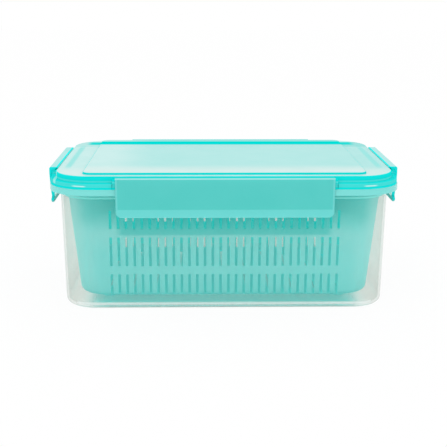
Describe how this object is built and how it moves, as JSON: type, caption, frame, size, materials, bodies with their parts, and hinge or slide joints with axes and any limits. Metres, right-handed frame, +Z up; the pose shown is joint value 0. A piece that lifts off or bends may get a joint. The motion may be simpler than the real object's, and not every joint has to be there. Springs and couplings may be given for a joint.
{
  "type": "fridge storage box",
  "caption": "Clear rectangular food tub with a push-on lid, hinged side latches, a soft seal ring and a slotted drain basket inside.",
  "frame": {"origin": "on the ground, under the middle of the base", "axes": "+X along the length, +Y from the front to the back, +Z up; the long front side faces -Y"},
  "size_m": [0.304, 0.2186, 0.1185],
  "materials": {
    "clear_plastic": "clear, faintly frosted polypropylene",
    "basket_plastic": "satin teal polypropylene, slightly see-through",
    "lid_plastic": "satin teal polypropylene, see-through where thin",
    "latch_plastic": "satin teal polypropylene",
    "seal_rubber": "soft milky silicone"
  },
  "bodies": {
    "container": {"outer_box": "clear_plastic", "drain_basket": "basket_plastic", "basket_floor": "basket_plastic", "basket_feet": "basket_plastic", "lid": "lid_plastic", "lid_seal": "seal_rubber"},
    "front_latch": {"latch_front": "latch_plastic"},
    "back_latch": {"latch_back": "latch_plastic"},
    "left_latch": {"latch_left": "latch_plastic"},
    "right_latch": {"latch_right": "latch_plastic"}
  },
  "joints": [
    {"name": "front_latch_hinge", "type": "hinge", "parent": "container", "child": "front_latch", "pos_m": [0, -0.1022, 0.1162], "axis": [-1, 0, 0], "range_deg": [0, 120]},
    {"name": "back_latch_hinge", "type": "hinge", "parent": "container", "child": "back_latch", "pos_m": [0, 0.1022, 0.1162], "axis": [1, 0, 0], "range_deg": [0, 120]},
    {"name": "left_latch_hinge", "type": "hinge", "parent": "container", "child": "left_latch", "pos_m": [-0.1449, 0, 0.1162], "axis": [0, 1, 0], "range_deg": [0, 120]},
    {"name": "right_latch_hinge", "type": "hinge", "parent": "container", "child": "right_latch", "pos_m": [0.1449, 0, 0.1162], "axis": [0, -1, 0], "range_deg": [0, 120]}
  ]
}
